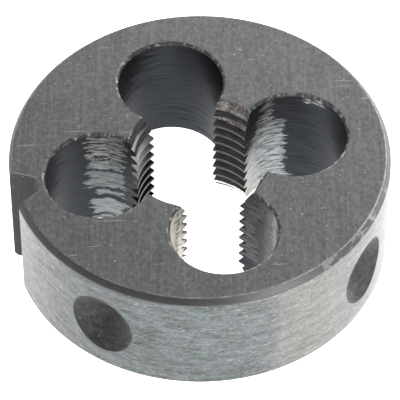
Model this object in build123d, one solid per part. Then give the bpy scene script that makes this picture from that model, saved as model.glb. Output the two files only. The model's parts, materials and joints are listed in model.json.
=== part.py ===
from build123d import *
from math import ceil, floor, radians, tan
import os

os.makedirs("parts", exist_ok=True)

# Frame: +Z runs up the thread axis to the starting face, the origin is the centre of the
# bottom face, and the adjusting notch is on the -X side.  Millimetres and degrees.

# Body
BODY_DIAMETER = 38.0
THICKNESS = 13.0
TOP_CHAMFER_RADIAL = 0.5
TOP_CHAMFER_AXIAL = 0.65
BOTTOM_EDGE_BREAK = 0.3

# Thread: metric fine, right hand, basic profile
THREAD_DIAMETER = 14.0
PITCH = 1.25
FLANK_ANGLE = 30.0
ROOT_FLAT = PITCH / 8
CREST_FLAT = PITCH / 4
THREAD_START = 0.25  # height of a groove's middle where the groove crosses the +X side

# Chip holes, drilled through on a pitch circle so that they open into the thread
CHIP_HOLES = 4
CHIP_HOLE_RADIUS = 5.3
CHIP_EDGE_BREAK = 0.3  # 45 degree break round each hole at the starting face
CHIP_CIRCLE_RADIUS = 10.05
CHIP_SHIFT_X = -0.38  # the drilled set stands this far off the thread axis
CHIP_SHIFT_Y = -0.27

# Leads: cones that open the thread at both faces
LEAD_ANGLE = 25.0  # from the thread axis
FRONT_LEAD_RADIUS = 7.35  # at the starting face, half way across a land
FRONT_LEAD_RELIEF = 0.4  # a land's cone is set over this far towards its heel
BACK_LEAD_RADIUS = 7.05

# Adjusting notch, full height down the rim
NOTCH_ANGLE = 179.0
NOTCH_WEB = 0.77  # metal left between the notch floor and the chip hole behind it
NOTCH_FLOOR = 1.7
NOTCH_FLANK_ANGLE = 30.0
NOTCH_CORNER_RADIUS = 0.4

# Screw seats: drill points sunk in the rim behind the lands
SEAT_RADIUS = 3.85
SEAT_POINT_ANGLE = 60.0  # from the seat's axis
SEAT_HEIGHT = 6.15
SEAT_TURN = -0.9  # all the seats sit round by this much from the land centres

OVERRUN = 1.0  # cutters run this far past the face they open

body_radius = BODY_DIAMETER / 2
root_radius = THREAD_DIAMETER / 2
flank_rise = (PITCH - ROOT_FLAT - CREST_FLAT) / 2
crest_radius = root_radius - flank_rise / tan(radians(FLANK_ANGLE))
hole_step = 360 / CHIP_HOLES
hole_angles = [n * hole_step for n in range(CHIP_HOLES)]
land_angles = [angle + hole_step / 2 for angle in hole_angles]
set_over = Pos(CHIP_SHIFT_X, CHIP_SHIFT_Y, 0)


def cone_from(radius, half_angle, narrow):
    # a cone standing on the XY plane, radius wide there and narrow wide at its top
    height = (radius - narrow) / tan(radians(half_angle))
    return Cone(radius, narrow, height, align=(Align.CENTER, Align.CENTER, Align.MIN))


def blank():
    # the turned and ground disc, one outline revolved
    outline = Polyline(
        (0, 0),
        (body_radius - BOTTOM_EDGE_BREAK, 0),
        (body_radius, BOTTOM_EDGE_BREAK),
        (body_radius, THICKNESS - TOP_CHAMFER_AXIAL),
        (body_radius - TOP_CHAMFER_RADIAL, THICKNESS),
        (0, THICKNESS),
        close=True,
    )
    return revolve(Plane.XZ * make_face(outline), Axis.Z)


def bore():
    return Pos(0, 0, THICKNESS / 2) * Cylinder(crest_radius, THICKNESS + 2 * OVERRUN)


def chip_holes():
    # the drill and the countersink of its edge break, one outline revolved
    flare = CHIP_HOLE_RADIUS + CHIP_EDGE_BREAK + OVERRUN
    outline = Polyline(
        (0, -OVERRUN),
        (CHIP_HOLE_RADIUS, -OVERRUN),
        (CHIP_HOLE_RADIUS, THICKNESS - CHIP_EDGE_BREAK),
        (flare, THICKNESS + OVERRUN),
        (0, THICKNESS + OVERRUN),
        close=True,
    )
    hole = Pos(CHIP_CIRCLE_RADIUS, 0, 0) * revolve(Plane.XZ * make_face(outline), Axis.Z)
    return [set_over * Rot(0, 0, angle) * hole for angle in hole_angles]


def front_leads():
    # one cone to a land, set over towards the heel so that the lead is relieved behind
    # the cutting edge, and kept to that land's share of the circle
    top = Pos(0, -FRONT_LEAD_RELIEF, THICKNESS) * Rot(180, 0, 0)
    cone = top * cone_from(FRONT_LEAD_RADIUS, LEAD_ANGLE, OVERRUN)
    reach = 2 * FRONT_LEAD_RADIUS
    share = Rot(0, 0, -hole_step / 2) * CenterArc((0, 0), reach, 0, hole_step)
    sector = make_face([share, Line((0, 0), share @ 0), Line(share @ 1, (0, 0))])
    cutter = cone & extrude(sector, THICKNESS)
    return [Rot(0, 0, angle) * cutter for angle in land_angles]


def thread_grooves():
    # the groove is swept along a right-hand helix over one land at a time, each piece
    # starting and ending in the air of the chip holes either side of the land
    span = hole_step * 0.8
    mouth_radius = crest_radius - CREST_FLAT / 2
    mouth = ROOT_FLAT / 2 + (root_radius - mouth_radius) * tan(radians(FLANK_ANGLE))
    helix = Helix(PITCH, PITCH * span / 360, crest_radius)
    section = Plane(origin=helix @ 0, x_dir=(1, 0, 0), z_dir=helix % 0)
    outline = Polyline(
        (mouth_radius - crest_radius, -mouth),
        (root_radius - crest_radius, -ROOT_FLAT / 2),
        (root_radius - crest_radius, ROOT_FLAT / 2),
        (mouth_radius - crest_radius, mouth),
        close=True,
    )
    groove = sweep(section * make_face(outline), path=helix, is_frenet=True)
    grooves = []
    for angle in land_angles:
        start = angle - span / 2
        height = THREAD_START + PITCH * start / 360
        first = floor(-height / PITCH) - 1
        last = ceil((THICKNESS - height) / PITCH)
        for turn in range(first, last + 1):
            grooves.append(Pos(0, 0, height + turn * PITCH) * Rot(0, 0, start) * groove)
    return grooves


def notch():
    # seen from above: a flat floor between two flanks that open outwards, standing a thin
    # web off the chip hole on the -X side
    floor_x = CHIP_CIRCLE_RADIUS - CHIP_SHIFT_X + CHIP_HOLE_RADIUS + NOTCH_WEB
    mouth_x = body_radius + OVERRUN
    mouth_y = NOTCH_FLOOR / 2 + (mouth_x - floor_x) * tan(radians(NOTCH_FLANK_ANGLE))
    outline = make_face(
        Polyline(
            (floor_x, -NOTCH_FLOOR / 2),
            (mouth_x, -mouth_y),
            (mouth_x, mouth_y),
            (floor_x, NOTCH_FLOOR / 2),
            close=True,
        )
    )
    corners = outline.vertices().sort_by(Axis.X)[:2]
    outline = fillet(corners, NOTCH_CORNER_RADIUS)
    return Rot(0, 0, NOTCH_ANGLE) * Pos(0, 0, -OVERRUN) * extrude(outline, THICKNESS + 2 * OVERRUN)


def screw_seats():
    # the drill point is wider outside the rim, SEAT_RADIUS is its radius at the rim
    wide = SEAT_RADIUS + OVERRUN * tan(radians(SEAT_POINT_ANGLE))
    point = Pos(body_radius + OVERRUN, 0, SEAT_HEIGHT) * Rot(0, -90, 0)
    seat = point * cone_from(wide, SEAT_POINT_ANGLE, 0)
    return [Rot(0, 0, angle + SEAT_TURN) * seat for angle in land_angles]


die = blank()
die -= bore()
die -= chip_holes()
die -= front_leads()
die -= cone_from(BACK_LEAD_RADIUS, LEAD_ANGLE, OVERRUN)
die -= thread_grooves()
die -= notch()
die -= screw_seats()

export_step(die, "parts/round_die.step")
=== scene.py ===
import json
import bmesh
import bpy
import numpy as np
from math import atan2, cos, hypot, radians, sin, tan
from mathutils import Matrix, Vector

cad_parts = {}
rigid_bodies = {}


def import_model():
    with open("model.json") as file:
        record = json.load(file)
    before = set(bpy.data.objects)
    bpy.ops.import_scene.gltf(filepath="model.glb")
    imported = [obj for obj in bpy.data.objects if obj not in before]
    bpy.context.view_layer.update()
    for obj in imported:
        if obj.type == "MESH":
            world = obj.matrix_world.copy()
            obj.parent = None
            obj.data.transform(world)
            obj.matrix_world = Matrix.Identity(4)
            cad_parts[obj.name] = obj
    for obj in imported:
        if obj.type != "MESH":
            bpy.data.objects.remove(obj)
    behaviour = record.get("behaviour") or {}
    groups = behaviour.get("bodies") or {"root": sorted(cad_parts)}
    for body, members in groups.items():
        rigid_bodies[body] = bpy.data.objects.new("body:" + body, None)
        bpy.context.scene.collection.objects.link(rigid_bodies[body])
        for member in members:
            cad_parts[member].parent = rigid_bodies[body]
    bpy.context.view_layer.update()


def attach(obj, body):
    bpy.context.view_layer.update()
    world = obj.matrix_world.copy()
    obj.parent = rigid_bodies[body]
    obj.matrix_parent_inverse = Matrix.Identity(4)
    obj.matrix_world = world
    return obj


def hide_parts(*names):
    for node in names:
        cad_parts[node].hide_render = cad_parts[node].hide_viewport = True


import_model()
print("frame loaded")

millimetre = 0.001
fullTurn = 2 * np.pi
nearly = 1e-5              # lengths and angles closer than this are the same

# the die, in millimetres and degrees: +Z is the thread axis, the notch is on the -X side
die = {
    "radius": 19.0,
    "height": 13.0,
    "chamferRadial": 0.5,
    "chamferAxial": 0.65,
    "chamferRound": 0.1,
    "bottomBreak": 0.3,
    "wallBreak": 0.3,      # break round the chip holes at the top face
    "landBreak": 0.06,     # the same along the top of a land
    "footBreak": 0.03,     # rounding of every wall at the bottom face
    "cornerWear": 0.06,    # extra break where a land's corner meets a chip hole
    "wearReach": 0.4,      # how far along the edges that wear runs
    "breakBulge": 0.35,    # how far a break is rounded: 0 is flat, 1 a quarter round
    "burrShare": 0.8,      # a break is burr from this share of its way out to the top face
    "root": 7.0,
    "pitch": 1.25,
    "rootFlat": 1 / 8,     # of the pitch
    "crestFlat": 1 / 4,
    "threadFlank": 30.0,
    "start": 0.25,         # height of a groove's middle at the +X side
    "chipRadius": 5.3,
    "chipCircle": 10.05,
    "chipShift": (-0.38, -0.27),
    "chipHoles": 4,
    "leadAngle": 25.0,
    "frontLead": 7.35,
    "frontRelief": 0.4,
    "backLead": 7.05,
    "leadShows": 0.002,    # the lead is a region of its own where it cuts this far into the thread
    "notchAngle": 179.0,
    "notchWeb": 0.77,
    "notchFloor": 1.7,
    "notchFlank": 30.0,
    "notchCorner": 0.4,
    "seatRadius": 3.85,
    "seatPoint": 60.0,
    "seatHeight": 6.15,
    "seatTurn": -0.9,
    "seatBreak": 0.025,
    "seatReach": 14.0,     # half the width of rim, in degrees, that is laid out round a seat
}

# how finely each surface is divided, and how the patches are joined
mesh = {
    "rowsPerPitch": 16,    # puts a row on every corner of the thread profile
    "landColumns": 18,
    "holeColumns": 44,
    "edgePasses": 20,      # passes that settle where a land meets a chip hole
    "breakRows": 6,
    "rimRows": 16,
    "rimStep": 2.0,        # degrees
    "roundSteps": 4,
    "seatRings": 6,
    "seatCurlRings": 3,
    "notchArc": 5,
    "notchFlankColumns": 3,
    "notchFlankStart": 17.3,   # distance from the axis where those columns start
    "holeMapStep": 40.0,   # millimetres between one chip hole and the next in the map
    "seatMapTurn": 2.0,    # millimetres for a radian round a seat in the map
    "weldDistance": 0.0005,
    "faceDistance": 0.001,     # an open edge this near a face's height belongs to that face
    "sharpAngle": 38.0,
}

regions = ["topFace", "bottomFace", "rim", "chamfer", "lip", "edge", "burr", "seat", "notch", "chipWall",
           "thread", "lead"]
height = die["height"]
pitch = die["pitch"]
cornerSize = die["wallBreak"] + die["cornerWear"]
leadSlope = tan(radians(die["leadAngle"]))
flankRise = pitch * (1 - die["rootFlat"] - die["crestFlat"]) / 2
crest = die["root"] - flankRise / tan(radians(die["threadFlank"]))
holeStep = fullTurn / die["chipHoles"]
patches = []


def addGrid(region, points, uv):
    # points is rows x columns x 3, uv is rows x columns x 2; region is a name or one per quad
    patches.append((region, points, uv))


def polar(radius, angle, z):
    # points at a distance from the axis, an angle round it and a height
    return np.stack([radius * np.cos(angle), radius * np.sin(angle), z + 0 * angle], -1)


# the four lands and the chip holes between them
def threadRadius(angle, z):
    # the groove's middle climbs one pitch a turn; going up or down from it the radius is the
    # root's, then falls in a straight flank to the crest's
    phase = (z - die["start"]) / pitch - angle / fullTurn
    away = np.abs(phase - np.round(phase))
    share = (away - die["rootFlat"] / 2) * pitch / flankRise
    return die["root"] + (crest - die["root"]) * np.clip(share, 0, 1)


def leadRadius(angle, z, landAngle):
    # the larger of two cones: the front one, whose axis is set over square to the middle of the
    # land, solved for its distance from the thread axis, and the back one, a plain cone
    side = -die["frontRelief"] * np.sin(angle - landAngle)
    cone = np.maximum(die["frontLead"] - (height - z) * leadSlope, 0)
    room = side ** 2 - die["frontRelief"] ** 2 + cone ** 2
    front = np.where(room > 0, side + np.sqrt(np.maximum(room, 0)), 0)
    return np.maximum(front, die["backLead"] - z * leadSlope)


def landRadius(angle, z, landAngle):
    # thread or lead, whichever cuts deeper
    return np.maximum(threadRadius(angle, z), leadRadius(angle, z, landAngle))


def rowHeight(angle, turns):
    # a row of a land keeps its place in the thread profile, so it climbs one pitch a turn
    return die["start"] + pitch * (angle / fullTurn + turns)


def trimmed(z, topBreak):
    # heights held between the breaks at the bottom face and the top one
    return np.clip(z, die["footBreak"], height - topBreak)


def breakSize(along, length, size):
    # size of the break at places along an edge: a bell of wear stands on it at each end
    near = np.minimum(along, length - along) / die["wearReach"]
    return size + (cornerSize - size) * np.exp(-near ** 2)


def holeCentres():
    # evenly round a circle that is shifted off the axis as a whole
    return [(die["chipShift"][0] + die["chipCircle"] * cos(n * holeStep),
             die["chipShift"][1] + die["chipCircle"] * sin(n * holeStep)) for n in range(die["chipHoles"])]


def landEdge(landAngle, hole, side, turns):
    # the angle at which every row of a land runs into the chip hole beside it: the cosine rule
    # on the axis, the hole's centre and the row's radius, which in turn depends on the angle
    far, bearing = hypot(*hole), atan2(hole[1], hole[0])
    bearing += fullTurn * round((landAngle - bearing) / fullTurn)
    radius = np.full(turns.shape, crest)
    for _ in range(mesh["edgePasses"]):
        opening = (far ** 2 + radius ** 2 - die["chipRadius"] ** 2) / (2 * far * radius)
        angle = bearing + side * np.arccos(opening)
        z = trimmed(rowHeight(angle, turns), cornerSize)
        radius = landRadius(angle, z, landAngle)
    return angle


def buildLands(holes):
    # each land is its radius over angle and height, between the edges of its two chip holes; its
    # rows start so low that after a turn's climb they are still under the bottom face
    rows = mesh["rowsPerPitch"]
    lowest = -round((1 + die["start"] / pitch) * rows) / rows
    turns = np.arange(lowest, (height - die["start"]) / pitch + 1 / rows, 1 / rows)
    across = np.linspace(0, 1, mesh["landColumns"] + 1)
    lands, levels = [], []
    for n in range(len(holes)):
        landAngle = (n + 0.5) * holeStep
        first = landEdge(landAngle, holes[n], 1, turns)
        last = landEdge(landAngle, holes[(n + 1) % len(holes)], -1, turns)
        angle = first[:, None] + (last - first)[:, None] * across
        z = rowHeight(angle, turns[:, None])
        levels.append((z[:, 0], z[:, -1]))
        length = (last - first).mean() * die["root"]
        z = trimmed(z, breakSize(across * length, length, die["landBreak"]))
        thread, cone = threadRadius(angle, z), leadRadius(angle, z, landAngle)
        isLead = cone > thread + die["leadShows"]
        region = np.where(isLead[:-1, :-1] & isLead[1:, 1:], "lead", "thread")
        points = polar(np.maximum(thread, cone), angle, z)
        lands.append(points)
        addGrid(region, points, np.stack([angle * die["root"], z], -1))
    return lands, levels


def buildChipWalls(holes, lands, levels):
    # each wall is a cylinder from the last edge of one land round to the first of the next,
    # its rows running straight from one land's heights to the other's
    around = np.linspace(0, 1, mesh["holeColumns"] + 1)
    walls = []
    for n, hole in enumerate(holes):
        ends = []
        for edge in (lands[n - 1][:, -1], lands[n][:, 0]):
            turn = np.arctan2(edge[:, 1] - hole[1], edge[:, 0] - hole[0]) - n * holeStep
            ends.append(np.mod(turn + np.pi, fullTurn) - np.pi)
        turn = ends[0][:, None] + (ends[1] - ends[0])[:, None] * around
        length = (ends[1] - ends[0]).mean() * die["chipRadius"]
        low, high = levels[n - 1][1], levels[n][0]
        z = trimmed(low[:, None] + (high - low)[:, None] * around,
                    breakSize(around * length, length, die["wallBreak"]))
        points = polar(die["chipRadius"], turn + n * holeStep, z) + np.array([hole[0], hole[1], 0])
        walls.append(points)
        addGrid("chipWall", points, np.stack([turn * die["chipRadius"] + mesh["holeMapStep"] * n, z], -1))
    return walls


def wallLoop(holes, lands, walls, row):
    # one row of every wall and land in turn, and the directions in which a break moves it out:
    # square to its surface, and where a wall and a land meet, along the mitre of the two
    loop, normals = [], []
    for n, hole in enumerate(holes):
        wall, land = walls[n][row], lands[n][row]
        away = wall[:, :2] - np.array(hole)
        loop += [wall, land]
        normals += [away / np.linalg.norm(away, axis=1, keepdims=True),
                    land[:, :2] / np.linalg.norm(land[:, :2], axis=1, keepdims=True)]
    for n in range(len(loop)):
        before, after = normals[n - 1][-1].copy(), normals[n][0].copy()
        mitre = (before + after) / (1 + before @ after)
        normals[n - 1][-1] = normals[n][0] = mitre
    return zip(loop, normals)


def buildBreaks(holes, lands, walls):
    # breaks from the tops and bottoms of the walls out to the two faces: each row moves on
    # outwards and towards the face, between a straight slope and a quarter round
    share = np.linspace(0, 1, mesh["breakRows"] + 1)
    bulge = die["breakBulge"]
    out = (share + bulge * (1 - np.cos(share * np.pi / 2) - share))[:, None]
    rise = (share + bulge * (np.sin(share * np.pi / 2) - share))[:, None]
    names = np.where(share[1:] > die["burrShare"], "burr", "edge")[:, None]
    for row, up in ((-1, 1), (0, -1)):
        for points, normal in wallLoop(holes, lands, walls, row):
            grid = np.repeat(points[None], len(share), 0)
            size = height - points[:, 2] if up > 0 else points[:, 2]
            grid[..., :2] += (size * out)[..., None] * normal
            grid[..., 2] += up * size * rise
            region = np.repeat(names, len(points) - 1, 1) if up > 0 else "edge"
            addGrid(region, grid, grid[..., :2])


holes = holeCentres()
lands, levels = buildLands(holes)
walls = buildChipWalls(holes, lands, levels)
buildBreaks(holes, lands, walls)
print("lands and chip holes laid out")


# outer profile, notch and rim
def curved(share, start, corner, end):
    # the parabola from start to end that both its ends aim at the corner
    return (1 - share) ** 2 * start + 2 * share * (1 - share) * corner + share ** 2 * end


def rounded(corner, before, after):
    # a parabola in place of a corner, from corner + before to corner + after
    share = np.linspace(0, 1, mesh["roundSteps"] + 1)[:, None]
    corner, before, after = (np.array(place) for place in (corner, before, after))
    return curved(share, corner + before, corner, corner + after)


def outerProfile():
    # radii shared by both ends of the rim, and the top and bottom height at each of them
    chamfer = hypot(die["chamferRadial"], die["chamferAxial"])
    down = np.array([die["chamferRadial"], -die["chamferAxial"]]) / chamfer * die["chamferRound"]
    inner = rounded((die["radius"] - die["chamferRadial"], height), (-die["chamferRound"], 0), down)
    outer = rounded((die["radius"], height - die["chamferAxial"]), -down, (0, -die["chamferRound"]))
    top = np.vstack([inner, outer])
    foot = die["radius"] - die["bottomBreak"]
    radii = np.unique(np.round(np.append(top[:, 0], foot), 6))
    return radii, np.interp(radii, top[:, 0], top[:, 1]), np.maximum(radii - foot, 0)


def notchOutline(radii):
    # plan of half the notch, from the middle of its floor to the rim, before it is turned: the
    # floor, an arc in the corner, then a straight flank with a point at each of the radii
    slope = tan(radians(die["notchFlank"]))
    floor = die["chipCircle"] - die["chipShift"][0] + die["chipRadius"] + die["notchWeb"]
    half, corner = die["notchFloor"] / 2, die["notchCorner"]
    tangent = corner * tan(radians(45 - die["notchFlank"] / 2))
    sweep = np.radians(np.linspace(180, 90 + die["notchFlank"], mesh["notchArc"] + 1))
    fillet = [floor + corner, half - tangent] + corner * np.stack([np.cos(sweep), np.sin(sweep)], -1)
    start = half - floor * slope
    columns = np.linspace(mesh["notchFlankStart"], radii[0], mesh["notchFlankColumns"] + 1)
    reach = np.concatenate([columns[:-1], radii])
    x = (-start * slope + np.sqrt(reach ** 2 * (1 + slope ** 2) - start ** 2)) / (1 + slope ** 2)
    flank = np.stack([x, start + slope * x], -1)
    return np.vstack([[[floor, 0]], fillet, flank])


def buildNotch(half, profile, rows):
    # the plan of the notch, turned to its place and carried straight up from the bottom profile
    # to the top one
    radii, topZ, footZ = profile
    plan = np.vstack([half[::-1] * [1, -1], half[1:]])
    turn = radians(die["notchAngle"])
    plan = plan @ np.array([[cos(turn), sin(turn)], [-sin(turn), cos(turn)]])
    away = np.hypot(plan[:, 0], plan[:, 1])
    high = np.interp(away, radii, topZ)
    low = np.interp(away, radii, footZ)
    z = low + (high - low) * rows[:, None]
    run = np.concatenate([[0], np.cumsum(np.hypot(*np.diff(plan, axis=0).T))])
    points = np.stack([plan[:, 0] + 0 * z, plan[:, 1] + 0 * z, z], -1)
    addGrid("notch", points, np.stack([run + 0 * z, z], -1))


def buildRim(half, profile, rows):
    # the rim and its two profiles, revolved in stretches: one round each seat and one between
    # any two of seats and notch
    radii, topZ, footZ = profile
    turn = radians(die["notchAngle"])
    mouth = atan2(half[-1][1], half[-1][0])
    seats = [(n + 0.5) * holeStep + radians(die["seatTurn"]) for n in range(die["chipHoles"])]
    reach = radians(die["seatReach"])
    rimZ = footZ[-1] + (topZ[-1] - footZ[-1]) * rows
    flank = np.arctan2(half[-len(radii):, 1], half[-len(radii):, 0])
    stops = sorted([seat + side * reach for seat in seats for side in (-1, 1)] + [turn - mouth, turn + mouth])
    stops.append(stops[0] + fullTurn)
    foot = radii > die["radius"] - die["bottomBreak"] - nearly
    for first, last in zip(stops, stops[1:]):
        if abs(first - (turn - mouth)) < nearly:
            continue  # the mouth of the notch
        isSeat = any(abs(first - seat + reach) < nearly for seat in seats)
        count = max(2, int(np.ceil(np.degrees(last - first) / mesh["rimStep"])))
        if isSeat:
            count = mesh["rimRows"]
        share = np.linspace(0, 1, count + 1)
        angle = first + (last - first) * share
        # beside the notch the chamfer rows run right up to its flank
        begin = turn + flank if abs(first - turn - mouth) < nearly else first + 0 * flank
        end = turn - flank if abs(last - turn + mouth) < nearly else last + 0 * flank
        fan = begin[:, None] + (end - begin)[:, None] * share
        for use, edgeZ in ((radii > 0, topZ), (foot, footZ)):
            r, z = radii[use, None], edgeZ[use, None]
            lip = r[1:] < die["radius"] - die["chamferRadial"] + die["chamferRound"]
            names = np.repeat(np.where(lip, "lip", "chamfer"), count, 1)
            uv = np.stack([fan[use] * die["radius"], z - r + 0 * fan[use]], -1)
            addGrid(names, polar(r, fan[use], z), uv)
        if isSeat:
            buildSeat((first + last) / 2, angle, rimZ)
        else:
            angle, z = np.meshgrid(angle, rimZ)
            addGrid("rim", polar(die["radius"], angle, z), np.stack([angle * die["radius"], z], -1))


def seatOutline(bearing):
    # where the seat's cone meets the rim, going round its axis: x along that axis solves
    # x^2 + (spread (x - tip) cos)^2 = radius^2, and size is the cone's radius there
    spread = tan(radians(die["seatPoint"]))
    tip = die["radius"] - die["seatRadius"] / spread
    flare = (spread * np.cos(bearing)) ** 2
    room = flare * flare * tip * tip - (1 + flare) * (flare * tip * tip - die["radius"] ** 2)
    x = (flare * tip + np.sqrt(room)) / (1 + flare)
    size = spread * (x - tip)
    return tip, size, np.stack([x, size * np.cos(bearing), size * np.sin(bearing)], -1)


def buildSeat(middle, angle, rimZ):
    # three surfaces on rings: straight lines from a rectangle of rim in to the seat's lip, a
    # parabola over its edge, and straight lines down the cone to its tip
    left, right = np.full(len(rimZ), angle[0]), np.full(len(rimZ), angle[-1])
    perimeter = np.vstack([np.stack([angle, np.full(len(angle), rimZ[0])], -1)[:-1],
                           np.stack([right, rimZ], -1)[:-1],
                           np.stack([angle, np.full(len(angle), rimZ[-1])], -1)[::-1][:-1],
                           np.stack([left, rimZ], -1)[::-1]])
    side = (perimeter[:, 0] - middle) * die["radius"]
    bearing = np.arctan2(perimeter[:, 1] - die["seatHeight"], side)
    tip, size, outline = seatOutline(bearing)
    grow = (size + die["seatBreak"]) / size
    y = outline[:, 1] * grow
    lip = np.stack([np.sqrt(die["radius"] ** 2 - y * y), y, outline[:, 2] * grow], -1)
    apex = np.array([tip, 0, 0])
    inner = apex + (outline - apex) * ((size - die["seatBreak"]) / size)[:, None]
    over = np.linspace(0, 1, mesh["seatCurlRings"] + 1)[:, None, None]
    inward = np.linspace(0, 1, mesh["seatRings"] + 1)[:, None, None]

    def place(points):
        # from the seat's own axis to its angle round the die
        x, y, z = np.moveaxis(points, -1, 0)
        return np.stack([x * cos(middle) - y * sin(middle), x * sin(middle) + y * cos(middle),
                         z + die["seatHeight"]], -1)

    lipFlat = np.stack([middle + np.arctan2(lip[:, 1], lip[:, 0]), lip[:, 2] + die["seatHeight"]], -1)
    flat = lipFlat + (perimeter - lipFlat) * inward
    addGrid("rim", polar(die["radius"], flat[..., 0], flat[..., 1]),
            np.stack([flat[..., 0] * die["radius"], flat[..., 1]], -1))
    curl = curved(over, lip, outline, inner)
    addGrid("seat", place(curl), np.stack(np.meshgrid(bearing, over), -1))
    cone = inner + (apex - inner) * inward
    around = bearing * mesh["seatMapTurn"] + 0 * inward[..., 0]
    addGrid("seat", place(cone), np.stack([around, size * (1 - inward[..., 0])], -1))


def buildOutside():
    profile = outerProfile()
    half = notchOutline(profile[0])
    rows = np.linspace(0, 1, mesh["rimRows"] + 1)
    buildNotch(half, profile, rows)
    buildRim(half, profile, rows)


buildOutside()
print("rim, seats and notch laid out")


# weld the patches into one closed body
def gatherPatches():
    # every patch's points in one list, with four corners, a region and a map place per quad
    points, quads, slots, uvs = [], [], [], []
    base = 0
    for region, grid, uv in patches:
        rows, columns = grid.shape[:2]
        index = np.arange(rows * columns).reshape(rows, columns)
        quad = np.stack([index[:-1, :-1], index[:-1, 1:], index[1:, 1:], index[1:, :-1]], -1).reshape(-1, 4)
        names = np.full((rows - 1, columns - 1), region) if isinstance(region, str) else region
        points.append(grid.reshape(-1, 3))
        uvs.append(uv.reshape(-1, 2)[quad].reshape(-1, 2))
        quads.append(quad + base)
        slots.append(np.array([regions.index(name) for name in names.ravel()]))
        base += rows * columns
    return (np.concatenate(part) for part in (points, quads, slots, uvs))


def closeBody(data):
    # merge the patches' shared edges, fill the two flat faces, and count edges left open
    work = bmesh.new()
    work.from_mesh(data)
    bmesh.ops.remove_doubles(work, verts=work.verts, dist=mesh["weldDistance"] * millimetre)
    bmesh.ops.dissolve_degenerate(work, edges=work.edges, dist=mesh["weldDistance"] * millimetre)
    near = mesh["faceDistance"] * millimetre
    for name, level in (("topFace", height), ("bottomFace", 0.0)):
        border = [edge for edge in work.edges if edge.is_boundary
                  and all(abs(vert.co.z - level * millimetre) < near for vert in edge.verts)]
        made = bmesh.ops.triangle_fill(work, edges=border, use_beauty=True, use_dissolve=False,
                                       normal=(0, 0, 1))
        for item in made["geom"]:
            if isinstance(item, bmesh.types.BMFace):
                item.material_index = regions.index(name)
    bmesh.ops.recalc_face_normals(work, faces=work.faces)
    loose = sum(not edge.is_manifold for edge in work.edges)
    work.to_mesh(data)
    work.free()
    return loose


def buildBody():
    points, quads, slots, uvs = gatherPatches()
    data = bpy.data.meshes.new("dieBody")
    data.from_pydata((points * millimetre).tolist(), [], quads.tolist())
    data.polygons.foreach_set("material_index", slots)
    data.uv_layers.new(name="wallMap").data.foreach_set("uv", uvs.ravel())
    body = bpy.data.objects.new("dieBody", data)
    bpy.context.scene.collection.objects.link(body)
    loose = closeBody(data)
    data.set_sharp_from_angle(angle=radians(mesh["sharpAngle"]))
    # only now, because the line above smooths every face
    slot = np.empty(len(data.polygons), np.int32)
    data.polygons.foreach_get("material_index", slot)
    flat = [regions.index(name) for name in ("topFace", "bottomFace")]
    data.polygons.foreach_set("use_smooth", ~np.isin(slot, flat))
    data.update()
    print("die body:", len(data.polygons), "faces,", loose, "edges not closed")
    return body


body = buildBody()
for region in regions:
    material = bpy.data.materials.new(region)
    material.use_nodes = True
    body.data.materials.append(material)
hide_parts("round_die")
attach(body, "root")


# node helpers: a value may be a number, a colour or another node's output
def add(tree, kind, inputs=(), **settings):
    made = tree.nodes.new(kind)
    for name, value in settings.items():
        setattr(made, name, value)
    for name, value in dict(inputs).items():
        if isinstance(value, bpy.types.NodeSocket):
            tree.links.new(value, made.inputs[name])
        else:
            made.inputs[name].default_value = value
    return made


def calc(tree, operation, *values, clamp=False):
    # one sum on numbers
    made = add(tree, "ShaderNodeMath", dict(enumerate(values)), operation=operation, use_clamp=clamp)
    return made.outputs[0]


def vectorCalc(tree, operation, *values, result="Vector"):
    # one sum on vectors
    made = add(tree, "ShaderNodeVectorMath", dict(enumerate(values)), operation=operation)
    return made.outputs[result]


def scaled(tree, vector, factor):
    # a vector or a colour times a number
    return add(tree, "ShaderNodeVectorMath", {0: vector, "Scale": factor}, operation="SCALE").outputs[0]


def blend(tree, factor, under, over):
    # one colour where the factor is 0, the other where it is 1
    return add(tree, "ShaderNodeMix", {0: factor, 6: under, 7: over}, data_type="RGBA").outputs[2]


def cover(tree, mask, share, under, over):
    # the same by a share of a mask
    return blend(tree, calc(tree, "MULTIPLY", mask, share), under, over)


def step(tree, value, low, high, start=0.0, end=1.0):
    # maps low..high smoothly onto start..end
    made = add(tree, "ShaderNodeMapRange", {0: value, 1: low, 2: high, 3: start, 4: end},
               interpolation_type="SMOOTHSTEP")
    return made.outputs[0]


def between(tree, value, low, high, lowSoft, highSoft):
    # 1 from low to high, fading to 0 over each end's softness either side of it
    up = step(tree, value, low - lowSoft, low + lowSoft)
    down = step(tree, value, high - highSoft, high + highSoft, 1.0, 0.0)
    return calc(tree, "MULTIPLY", up, down)


def varied(tree, pattern, amount, base=1.0):
    # base, plus amount times the pattern less a half
    return calc(tree, "MULTIPLY_ADD", calc(tree, "SUBTRACT", pattern, 0.5), amount, base)


def grain(tree, where, look, turn=0.0):
    # noise from 0 to 1; a look is its features per millimetre in each direction, detail,
    # roughness, shift, and the degrees that it is turned on top of turn
    scale, detail, roughness, shift, ownTurn = look
    rotation = (0, 0, radians(turn + ownTurn))
    turned = add(tree, "ShaderNodeMapping", {"Vector": where, "Rotation": rotation}).outputs[0]
    fitted = add(tree, "ShaderNodeMapping", {"Vector": turned, "Scale": scale, "Location": shift}).outputs[0]
    noise = add(tree, "ShaderNodeTexNoise", {"Vector": fitted, "Scale": 1.0, "Detail": detail,
                                             "Roughness": roughness})
    return noise.outputs[0]


def patchy(tree, where, look, turn=0.0):
    # the same as a mask: the look ends with the two levels of noise at which it is 0 and 1
    return step(tree, grain(tree, where, look[:-2], turn), *look[-2:])


def grey(value, tint=(1, 1, 1)):
    # a colour that bright, times a tint
    return (value * tint[0], value * tint[1], value * tint[2], 1)


def millimetres(tree):
    # object coordinates in millimetres
    return scaled(tree, add(tree, "ShaderNodeTexCoord").outputs["Object"], 1 / millimetre)


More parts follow.
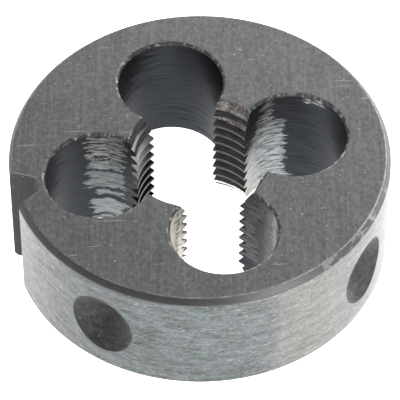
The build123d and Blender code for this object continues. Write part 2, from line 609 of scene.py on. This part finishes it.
def wallMap(tree):
    # the mesh's own map: millimetres round and up each turned or drilled surface
    return add(tree, "ShaderNodeUVMap", uv_map="wallMap").outputs[0]


def split(tree, where):
    # how far round and how far up a place in that map is
    parts = add(tree, "ShaderNodeSeparateXYZ", {0: where})
    return parts.outputs[0], parts.outputs[1]


def alongRim(degrees):
    # how far round the rim's map an angle is
    return radians(degrees) * die["radius"]


def markDirection(tree):
    # the way round, in which tool marks run
    return add(tree, "ShaderNodeTangent", direction_type="UV_MAP", uv_map="wallMap").outputs[0]


def bumped(tree, relief, depth):
    # the surface's direction over a relief that many millimetres deep
    return add(tree, "ShaderNodeBump", {"Height": relief, "Distance": depth * millimetre,
                                        "Strength": 1.0}).outputs[0]


def startMaterial(name):
    # a region's nodes and its shader
    tree = bpy.data.materials[name].node_tree
    return tree, tree.nodes["Principled BSDF"]


def finishMaterial(tree, shader, look, colour, pattern, normal=None):
    # roughness is the look's first value for it, plus the second times the pattern; spread is how
    # far the shine is drawn out across the marks
    start, change = look["roughness"]
    tree.links.new(colour, shader.inputs["Base Color"])
    tree.links.new(calc(tree, "MULTIPLY_ADD", pattern, change, start), shader.inputs["Roughness"])
    shader.inputs["Metallic"].default_value = look["metal"]
    if normal is not None:
        tree.links.new(normal, shader.inputs["Normal"])
    if look["spread"]:
        shader.inputs["Anisotropic"].default_value = look["spread"]
        shader.inputs["Anisotropic Rotation"].default_value = 0.25  # a quarter turn from the marks
        tree.links.new(markDirection(tree), shader.inputs["Tangent"])


# ground faces: straight fine lines, specks and a few long scratches
face = {
    "tone": 0.186,
    "tint": (0.97, 1.0, 0.99),
    "lineTurn": 15.27,     # degrees between the grinding lines and +Y
    "lines": ((4.5, 0.12, 0.1), 3, 0.65, (0, 0, 0), 0),
    "lineContrast": 0.75,
    "mottle": ((2.6, 1.9, 0.1), 4, 0.7, (0, 9, 0), 0),
    "mottleContrast": 1.35,
    "cloud": ((0.4, 0.22, 0.1), 2, 0.5, (5, 2, 0), 0),
    "cloudContrast": 0.25,
    "specks": ((3.4, 3.4, 0.1), 2, 0.5, (3, 3, 0), 0, 0.685, 0.77),
    "longScratches": ((0.2, 4.2, 0.1), 1, 0.3, (1, 7, 0), -3, 0.74, 0.79),
    "longShare": 0.5,      # how much of a scratch shows, where a speck shows in full
    "shortScratches": ((0.8, 5.0, 0.1), 2, 0.4, (6, 2, 0), 4, 0.7, 0.78),
    "shortShare": 0.45,
    "markTone": 0.55,      # of specks and scratches
    "roughness": (0.51, 0.12),
    "metal": 1.0,
    "spread": 0.0,
    "depth": 0.004,        # of the lines, in millimetres
}


def groundFace(name):
    # tone times 1 + lines + cloud + mottle, under the strongest of speck and scratches
    tree, shader = startMaterial(name)
    where, turn = millimetres(tree), face["lineTurn"]
    lines, mottle, cloud = (grain(tree, where, face[key], turn) for key in ("lines", "mottle", "cloud"))
    change = varied(tree, lines, face["lineContrast"])
    change = varied(tree, cloud, face["cloudContrast"], change)
    change = varied(tree, mottle, face["mottleContrast"], change)
    speck = patchy(tree, where, face["specks"])
    long = patchy(tree, where, face["longScratches"], turn)
    short = patchy(tree, where, face["shortScratches"], turn)
    scratch = calc(tree, "MAXIMUM", calc(tree, "MULTIPLY", long, face["longShare"]),
                   calc(tree, "MULTIPLY", short, face["shortShare"]))
    tone = scaled(tree, grey(face["tone"], face["tint"])[:3], change)
    colour = blend(tree, calc(tree, "MAXIMUM", speck, scratch), tone, grey(face["markTone"]))
    finishMaterial(tree, shader, face, colour, lines, bumped(tree, lines, face["depth"]))


# rim: short brushed streaks round the circumference, bluish to lilac
rimLook = {
    "tone": 0.11,
    "cool": (0.87, 1.0, 0.99),
    "warm": (0.98, 0.985, 1.03),
    "warmGain": 1.08,      # how much brighter than the cool patches the warm ones are
    "hues": ((0.3, 0.6, 1), 4, 0.7, (1, 2, 0), 0),
    "hueSteps": (0.42, 0.6),   # below the first a patch is cool, above the second warm
    "streaks": ((0.9, 3.4, 1), 3, 0.7, (0, 0, 0), 0),
    "fine": ((2.6, 5.0, 1), 2, 0.65, (3, 5, 0), 0),
    "streakContrast": 1.5,     # of the streaks and the fine ones each
    "broad": ((0.3, 1.1, 1), 3, 0.6, (4, 4, 0), 4),
    "broadContrast": 1.5,
    "slanted": ((1.3, 3.8, 1), 3, 0.8, (6, 6, 0), 38),
    "slantedContrast": 4.5,
    "leastGain": 0.15,     # the tone is never multiplied by less than this
    "pits": ((3.5, 4.5, 1), 2, 0.5, (8, 1, 0), 0, 0.66, 0.74),
    "pitShare": 0.55,
    "pitTone": 0.05,
    "flecks": ((1.3, 4.2, 1), 3, 0.7, (2, 9, 0), 0, 0.58, 0.74),
    "fleckShare": 0.5,
    "fleckTone": 0.5,
    # painted reflections: zones painted brighter where the rim shows the lamps' reflections: where each
    # starts and ends (degrees round the body, each with its softness in millimetres), gain, and how much of
    # the brushing runs slantwise there
    "paintedReflections": (
        (181.0, 3.0, 207.0, 5.0, 0.25, 1.0),
        (277.5, 1.2, 303.0, 1.2, 0.28, 0.0),
        (303.0, 1.2, 338.0, 8.0, 0.1, 0.3),
    ),
    "paintedReflectionTint": (1.03, 1.02, 0.96),
    "paintedReflectionShare": 0.8,    # how much of that tint shows
    "roughness": (0.28, 0.16),
    "metal": 1.0,
    "spread": 0.5,
    "fineRelief": 0.6,     # height of the fine streaks, where that of the others is 1
    "depth": 0.03,         # of the brushing, in millimetres
}


def brushedRim():
    # hue times 1 + streaks + fine ones + broad ones, plus gain and slanted streaks in each zone of
    # painted reflection; then dark pits and bright flecks
    tree, shader = startMaterial("rim")
    where = wallMap(tree)
    around = split(tree, where)[0]
    keys = ("streaks", "fine", "hues", "broad", "slanted")
    streaks, fine, patch, broad, slanted = (grain(tree, where, rimLook[key]) for key in keys)
    change = varied(tree, streaks, rimLook["streakContrast"])
    change = varied(tree, fine, rimLook["streakContrast"], change)
    change = varied(tree, broad, rimLook["broadContrast"], change)
    hue = blend(tree, step(tree, patch, *rimLook["hueSteps"]), grey(rimLook["tone"], rimLook["cool"]),
                grey(rimLook["tone"] * rimLook["warmGain"], rimLook["warm"]))
    # painted reflections: each zone brightens and tints the rim's colour where it shows reflections of the
    # lamps
    for start, startSoft, end, endSoft, gain, slant in rimLook["paintedReflections"]:
        zone = between(tree, around, alongRim(start), alongRim(end), startSoft, endSoft)
        more = varied(tree, slanted, rimLook["slantedContrast"] * slant, gain)
        change = calc(tree, "MULTIPLY_ADD", zone, more, change)
        hue = cover(tree, zone, rimLook["paintedReflectionShare"], hue, grey(rimLook["tone"], rimLook["paintedReflectionTint"]))
    tone = scaled(tree, hue, calc(tree, "MAXIMUM", change, rimLook["leastGain"]))
    pits = patchy(tree, where, rimLook["pits"])
    flecks = patchy(tree, where, rimLook["flecks"])
    colour = cover(tree, pits, rimLook["pitShare"], tone, grey(rimLook["pitTone"]))
    colour = cover(tree, flecks, rimLook["fleckShare"], colour, grey(rimLook["fleckTone"]))
    relief = calc(tree, "MULTIPLY_ADD", fine, rimLook["fineRelief"], streaks)
    finishMaterial(tree, shader, rimLook, colour, patch, bumped(tree, relief, rimLook["depth"]))


# oxide: the skin left by hardening on everything that was not ground afterwards
oxide = {
    "specks": ((3.6, 3.6, 3.6), 1, 0.5, (0, 0, 0), 0, 0.7, 0.78),
    "speckShare": 0.6,
    "depth": 0.006,        # of the streaks, in millimetres
    "chamfer": {
        "tone": 0.083, "tint": (1.0, 0.98, 1.01), "speckTone": 0.25,
        "streaks": ((0.5, 3.0, 1), 3, 0.6, (0, 0, 0), 0), "contrast": 0.6,
        "roughness": (0.43, 0.15), "metal": 0.9, "spread": 0.2,
        # the stretch that is brighter in blotches, in degrees round the body
        "blotchFrom": 293.0, "blotchTo": 331.0, "blotchSoft": 1.2, "blotchTone": 0.19,
        "blotches": ((0.9, 0.9, 0.9), 3, 0.65, (4, 0, 2), 0, 0.5, 0.62),
    },
    "seat": {
        "tone": 0.046, "tint": (1.02, 0.99, 1.03), "speckTone": 0.25,
        "streaks": ((1.5, 2.5, 1), 3, 0.6, (0, 0, 0), 0), "contrast": 2.4,
        "roughness": (0.53, 0.15), "metal": 0.9, "spread": 0.0,
    },
    "notch": {
        "tone": 0.052, "tint": (0.97, 1.0, 1.0), "speckTone": 0.3,
        "streaks": ((3.0, 1.5, 1), 3, 0.6, (0, 0, 0), 0), "contrast": 1.0,
        "roughness": (0.53, 0.15), "metal": 0.9, "spread": 0.0,
        # the worn line along the top edge, in millimetres
        "lineWidth": 0.15, "lineTone": 0.2,
    },
}


def oxideSkin(name):
    # tone times 1 + streaks, under specks, and under the chamfer's bright blotches or the notch's worn line
    look = oxide[name]
    tree, shader = startMaterial(name)
    where, body = wallMap(tree), millimetres(tree)
    streaks = grain(tree, where, look["streaks"])
    specks = patchy(tree, body, oxide["specks"])
    tone = scaled(tree, grey(look["tone"], look["tint"])[:3], varied(tree, streaks, look["contrast"]))
    colour = cover(tree, specks, oxide["speckShare"], tone, grey(look["speckTone"]))
    if "blotchTone" in look:
        around = split(tree, where)[0]
        place = between(tree, around, alongRim(look["blotchFrom"]), alongRim(look["blotchTo"]),
                        look["blotchSoft"], look["blotchSoft"])
        colour = cover(tree, patchy(tree, body, look["blotches"]), place, colour, grey(look["blotchTone"]))
    if "lineTone" in look:
        up = split(tree, where)[1]
        worn = step(tree, up, height - look["lineWidth"], height - look["lineWidth"] / 2)
        colour = blend(tree, worn, colour, grey(look["lineTone"]))
    finishMaterial(tree, shader, look, colour, streaks, bumped(tree, streaks, oxide["depth"]))


# chip hole walls: blue-black skin with the drill's marks, and painted reflections: bright patches in places
chip = {
    "tone": 0.027,
    "tint": (0.9, 1.0, 1.17),
    "marks": ((0.25, 2.4, 1), 4, 0.75, (0, 0, 0), -3),
    "contrast": 2.5,
    "roughness": (0.28, 0.2),
    "metal": 1.0,
    "spread": 0.4,
    "depth": 0.018,        # of the drill marks, in millimetres
    "sway": 0.6,           # how far, in all, a drill mark tilts the surface sideways
    "sideWaves": ((0.2, 1.7, 1), 3, 0.7, (7, 3, 0), -4),
    "sideReach": 4.2,      # millimetres in which the side of a painted reflection patch wanders
    "sideSoft": 0.12,
    "endWaves": ((0.45, 0.6, 1), 3, 0.6, (1, 8, 0), -4),
    "endReach": 1.8,       # the same for its lower and upper end
    "endSoft": 0.1,
    "dashes": ((0.6, 4.5, 1), 3, 0.75, (2, 4, 0), -5),
    "dashSteps": (0.46, 0.54),
    "dashGain": 0.35,      # how much stronger the dashes of a broken patch are
    "warmRed": 0.08,       # what a warmth of 1 adds to the red
    "warmBlue": 0.12,      # and takes from the blue
    # hole, then height and the two sides in degrees from the hole's outermost line, for the
    # lower and the upper end of a painted reflection patch, how bright, warmth, how broken up
    "paintedReflections": (
        (2, 0.9, -131, -95, 3.1, -131, -91, 0.22, -1.0, 0.45),
        (2, 3.7, -129, -103, 4.4, -129, -101, 0.22, -1.0, 0.4),
        (2, 5.0, -131, -92, 7.3, -131, -91, 0.18, -0.8, 0.55),
        (2, 7.6, -131, -91, 9.1, -131, -91, 0.23, -0.5, 0.75),
        (2, 9.3, -130, -92, 12.9, -131, -93, 0.25, 0.0, 1.0),
        (2, 0.0, -116, -97, 0.6, -114, -99, 0.2, -1.0, 0.5),
        (0, -0.5, 82, 150, 7.6, 84, 134, 0.33, -1.0, 0.75),
        (0, 7.6, 82, 134, 9.2, 84, 119, 0.3, -0.7, 0.8),
        (0, 9.2, 98, 119, 13.2, 99, 108, 0.26, -0.2, 0.95),
        (0, -0.5, 104, 150, 7.2, 127, 143, 0.34, 0.4, 0.6),
        (0, 11.9, 38, 62, 12.9, 40, 64, 0.3, -0.4, 1.0),
        (3, 3.0, 125, 150, 8.4, 130, 150, 0.09, -0.5, 0.9),
        (3, 8.4, 130, 150, 12.6, 114, 150, 0.09, -0.5, 0.9),
        (3, 3.0, 100, 116, 12.5, 100, 111, 0.08, -0.5, 1.0),
        (3, 4.0, 87, 99, 13.2, 87, 99, 0.26, 0.0, 0.5),
        (3, -0.5, -150, -134, 13.2, -150, -136, 0.62, 0.7, 0.4),
        (3, -0.5, -132, -116, 13.2, -132, -116, 0.42, 1.9, 0.5),
    ),
}


def swayed(tree, normal, pattern):
    # the surface's direction, plus the way round times the pattern less a half, which breaks the
    # edge of a reflection into teeth
    lean = scaled(tree, markDirection(tree), varied(tree, pattern, chip["sway"], 0.0))
    return vectorCalc(tree, "NORMALIZE", vectorCalc(tree, "ADD", normal, lean))


def patchSide(tree, up, low, high, atLow, atHigh, start):
    # how far round the map a side of a painted reflection patch is: a straight line from its lower end to
    # its upper one, in degrees from the hole's outermost line, which is at start
    degree = radians(1) * die["chipRadius"]
    lean = (atHigh - atLow) * degree / (high - low)
    return calc(tree, "MULTIPLY_ADD", calc(tree, "SUBTRACT", up, low), lean, start + atLow * degree)


def drilledWall():
    # tone times 1 + marks, under each painted reflection patch: 1 between its wandering sides and ends, times
    # the dashes that break it up
    tree, shader = startMaterial("chipWall")
    where = wallMap(tree)
    around, up = split(tree, where)
    keys = ("marks", "dashes", "sideWaves", "endWaves")
    marks, dashes, sideWaves, endWaves = (grain(tree, where, chip[key]) for key in keys)
    place = varied(tree, sideWaves, chip["sideReach"], around)
    level = varied(tree, endWaves, chip["endReach"], up)
    colour = scaled(tree, grey(chip["tone"], chip["tint"])[:3], varied(tree, marks, chip["contrast"]))
    soft, endSoft = chip["sideSoft"], chip["endSoft"]
    # painted reflections: each patch paints a bright, broken band into the wall's colour in place of
    # reflections on the drilled wall
    for hole, low, lowFrom, lowTo, high, highFrom, highTo, bright, warmth, broken in chip["paintedReflections"]:
        start = mesh["holeMapStep"] * hole
        first = calc(tree, "SUBTRACT", place, patchSide(tree, up, low, high, lowFrom, highFrom, start))
        last = calc(tree, "SUBTRACT", place, patchSide(tree, up, low, high, lowTo, highTo, start))
        inside = calc(tree, "MULTIPLY", step(tree, first, -soft, soft),
                      step(tree, last, -soft, soft, 1.0, 0.0))
        inside = calc(tree, "MULTIPLY", inside, between(tree, level, low, high, endSoft, endSoft))
        dash = step(tree, dashes, *chip["dashSteps"], 1 - broken, 1 + chip["dashGain"] * broken)
        tint = (1 + chip["warmRed"] * warmth, 1, 1 - chip["warmBlue"] * max(warmth, 0))
        colour = blend(tree, calc(tree, "MULTIPLY", inside, dash, clamp=True), colour, grey(bright, tint))
    normal = swayed(tree, bumped(tree, marks, chip["depth"]), marks)
    finishMaterial(tree, shader, chip, colour, marks, normal)


# lands: dark flanks, worn crests, and a lighter lead with a little rust
land = {
    # how bright the thread and the lead of each land are, round from the +X side: partly wear, partly painted
    # light and shade for the way each land faces the lamps
    "flanks": (0.21, 0.045, 0.12, 0.13),
    "leads": (0.95, 0.11, 0.6, 0.5),
    "leadTint": (1.0, 0.97, 0.92),
    "changeSoft": 0.1,     # softness, in millimetres, of the change between two lands
    "crestTone": 0.07,
    "crestWear": (0.015, 0.05),    # millimetres off a crest where its wear starts to fade and is gone
    "streaks": ((0.8, 4.2, 1), 3, 0.7, (0, 0, 0), 0),
    "contrast": 2.4,
    "rust": (0.36, 0.2, 0.16),
    "rustPatches": ((0.9, 0.9, 0.9), 3, 0.6, (2, 0, 0), 0, 0.46, 0.6),
    "rustShare": 0.7,
    "sootTone": 0.14,
    "sootPatches": ((2.6, 2.6, 2.6), 3, 0.7, (0, 5, 0), 0, 0.5, 0.62),
    "sootShare": 0.75,
    "roughness": (0.32, 0.2),
    "metal": 1.0,
    "spread": 0.0,
    "depth": 0.006,        # of the streaks, in millimetres
}


def byLand(tree, around, colours):
    # each land's colour, partly painted light and shade, changing in the chip holes
    width = holeStep * die["root"]
    hue = colours[0]
    for n, colour in enumerate(colours[1:], 1):
        here = between(tree, around, n * width, (n + 1) * width, land["changeSoft"], land["changeSoft"])
        hue = blend(tree, here, hue, colour)
    return hue


def threadWearAndPaintedShade(tree, around):
    # each land's flank tone, partly painted light and shade, and the crest's where the distance from the axis
    # is near a crest's
    flat = vectorCalc(tree, "MULTIPLY", millimetres(tree), (1, 1, 0))
    away = vectorCalc(tree, "LENGTH", flat, result="Value")
    start, end = land["crestWear"]
    worn = step(tree, away, crest + start, crest + end, 1.0, 0.0)
    return blend(tree, worn, byLand(tree, around, [grey(bright) for bright in land["flanks"]]),
                 grey(land["crestTone"]))


def leadWearAndPaintedLight(tree, around):
    # each land's lead tone, partly painted light and shade, with more rust the brighter it is, under soot
    where = millimetres(tree)
    rust = patchy(tree, where, land["rustPatches"])
    soot = patchy(tree, where, land["sootPatches"])
    colours = []
    for bright in land["leads"]:
        clean = grey(bright, land["leadTint"])
        colours.append(cover(tree, rust, land["rustShare"] * bright, clean, (*land["rust"], 1)))
    return cover(tree, soot, land["sootShare"], byLand(tree, around, colours), grey(land["sootTone"]))


def threadedLand(name, worn):
    # a colour of wear and painted light and shade, times 1 + streaks
    tree, shader = startMaterial(name)
    where = wallMap(tree)
    around = split(tree, where)[0]
    streaks = grain(tree, where, land["streaks"])
    tone = scaled(tree, worn(tree, around), varied(tree, streaks, land["contrast"]))
    finishMaterial(tree, shader, land, tone, streaks, bumped(tree, streaks, land["depth"]))


# edges: burrs and worn corners that catch the light here and there; the colour of edges and burrs also
# carries painted light and shade by the way they face
edges = {
    "edge": {
        "dull": 0.06, "bright": 0.3, "patches": ((1.8, 1.8, 1.8), 4, 0.75, (0, 0, 0), 0, 0.5, 0.68),
        "paintedFacingShade": True, "roughness": (0.65, -0.1), "metal": 1.0, "spread": 0.0,
    },
    "burr": {
        "dull": 0.07, "bright": 0.22, "patches": ((1.8, 1.8, 1.8), 4, 0.75, (0, 0, 0), 0, 0.45, 0.68),
        "paintedFacingShade": True, "roughness": (0.65, -0.1), "metal": 0.85, "spread": 0.0,
    },
    "lip": {
        "dull": 0.14, "bright": 0.26, "patches": ((1.8, 1.8, 1.8), 4, 0.75, (0, 0, 0), 0, 0.4, 0.62),
        "paintedFacingShade": False, "roughness": (0.7, -0.1), "metal": 0.2, "spread": 0.0,
    },
    # painted light and shade: edges and burrs are painted dullest where they face this way (degrees round the
    # body), the side towards the lamps, and brightest facing away: facing is from
    # -1, straight away from it, to 1, straight to it, and the gain runs between those two values
    "angle": -15.3,
    "facing": (-0.6, 0.4),
    "gain": (4.0, 0.75),
}


def wornEdgeWithPaintedShade(name):
    # dull to bright in patches of wear, times a gain for the way that the break faces, which paints light and
    # shade onto edges and burrs
    look = edges[name]
    tree, shader = startMaterial(name)
    worn = patchy(tree, millimetres(tree), look["patches"])
    colour = blend(tree, worn, grey(look["dull"]), grey(look["bright"]))
    # painted light and shade: darker where the break faces the lamps, brighter where it faces away
    if look["paintedFacingShade"]:
        toward = radians(edges["angle"])
        normal = add(tree, "ShaderNodeTexCoord").outputs["Normal"]
        facing = vectorCalc(tree, "DOT_PRODUCT", normal, (cos(toward), sin(toward), 0), result="Value")
        colour = scaled(tree, colour, step(tree, facing, *edges["facing"], *edges["gain"]))
    finishMaterial(tree, shader, look, colour, worn)


groundFace("topFace")
groundFace("bottomFace")
brushedRim()
for name in ("chamfer", "seat", "notch"):
    oxideSkin(name)
drilledWall()
threadedLand("thread", threadWearAndPaintedShade)
threadedLand("lead", leadWearAndPaintedLight)
for name in ("edge", "burr", "lip"):
    wornEdgeWithPaintedShade(name)
print("materials made")


# floor: a white table that glows
table = {
    "radius": 1.6,         # metres
    "corners": 48,
    "drop": 0.00002,       # metres from the die's bottom face down to it
    "tone": 0.9,
    "roughness": 0.9,
    "glow": 1.9,
}


def buildFloor():
    data = bpy.data.meshes.new("floor")
    turns = [fullTurn * k / table["corners"] for k in range(table["corners"])]
    ring = [(table["radius"] * cos(turn), table["radius"] * sin(turn), -table["drop"]) for turn in turns]
    data.from_pydata(ring, [], [list(range(len(ring)))])
    floor = bpy.data.objects.new("floor", data)
    bpy.context.scene.collection.objects.link(floor)
    material = bpy.data.materials.new("paleFloor")
    material.use_nodes = True
    shader = material.node_tree.nodes["Principled BSDF"]
    shader.inputs["Base Color"].default_value = grey(table["tone"])
    shader.inputs["Roughness"].default_value = table["roughness"]
    shader.inputs["Emission Color"].default_value = grey(1)
    shader.inputs["Emission Strength"].default_value = table["glow"]
    data.materials.append(material)


def aimed(name, kind, place, target, roll=0.0):
    # a light or camera that looks from its place at a target, upright but for its roll
    data = bpy.data.lights.new(name, kind) if kind != "CAMERA" else bpy.data.cameras.new(name)
    item = bpy.data.objects.new(name, data)
    forward = (Vector(target) - Vector(place)).normalized()
    right = forward.cross(Vector((0, 0, 1))).normalized()
    up = right.cross(forward)
    right, up = cos(roll) * right + sin(roll) * up, cos(roll) * up - sin(roll) * right
    matrix = Matrix((right, up, -forward)).transposed().to_4x4()
    matrix.translation = place
    item.matrix_world = matrix
    bpy.context.scene.collection.objects.link(item)
    return item


# light: a pale studio that is dimmer overhead, and soft panels
studio = {
    "tint": (0.96, 0.98, 1.0),
    "horizon": 0.4,
    "overhead": 0.18,
    "rise": (0.15, 0.6),   # how far up, from 0 level to 1 overhead, the dimming starts and ends
    "target": (0, 0, 0.006),
    # name, azimuth, elevation, distance, width, height (degrees and metres), watts
    "panels": (
        ("nearRight", 50, 38, 0.12, 0.08, 0.05, 0.003),
        ("nearBack", 75, 25, 0.12, 0.08, 0.04, 0.034),
        ("backPanel", 45, 20, 0.6, 0.3, 0.2, 1.4),
        ("rightPanel", 15, 25, 0.6, 0.2, 0.2, 4.1),
        ("frontPanel", -65, 20, 0.6, 0.2, 0.2, 2.5),
    ),
}


def buildLight():
    world = bpy.data.worlds.new("studio")
    bpy.context.scene.world = world
    world.use_nodes = True
    tree = world.node_tree
    direction = add(tree, "ShaderNodeTexCoord").outputs["Generated"]
    rise = add(tree, "ShaderNodeSeparateXYZ", {0: direction}).outputs[2]
    background = tree.nodes["Background"]
    background.inputs["Color"].default_value = (*studio["tint"], 1)
    strength = step(tree, rise, *studio["rise"], studio["horizon"], studio["overhead"])
    tree.links.new(strength, background.inputs["Strength"])
    for name, azimuth, elevation, distance, wide, tall, power in studio["panels"]:
        turn, tilt = radians(azimuth), radians(elevation)
        place = (distance * cos(tilt) * cos(turn), distance * cos(tilt) * sin(turn), distance * sin(tilt))
        light = aimed(name, "AREA", place, studio["target"])
        light.data.shape = "RECTANGLE"
        light.data.size = wide
        light.data.size_y = tall
        light.data.energy = power


# camera: place and target in metres, roll in degrees, lens and sensor in millimetres
view = {
    "place": (-0.05558, -0.20361, 0.25688),
    "target": (-0.00003, -0.00014, 0.0057),
    "roll": -0.1045,
    "lens": 292.5,
    "sensor": 36.0,
    "clipEnd": 10.0,       # metres
}


def buildCamera():
    camera = aimed("camera", "CAMERA", view["place"], view["target"], radians(view["roll"]))
    camera.data.lens = view["lens"]
    camera.data.sensor_width = view["sensor"]
    camera.data.clip_end = view["clipEnd"]
    bpy.context.scene.camera = camera
    bpy.context.scene.view_settings.view_transform = "Standard"


buildFloor()
buildLight()
buildCamera()
print("floor, light and camera placed")
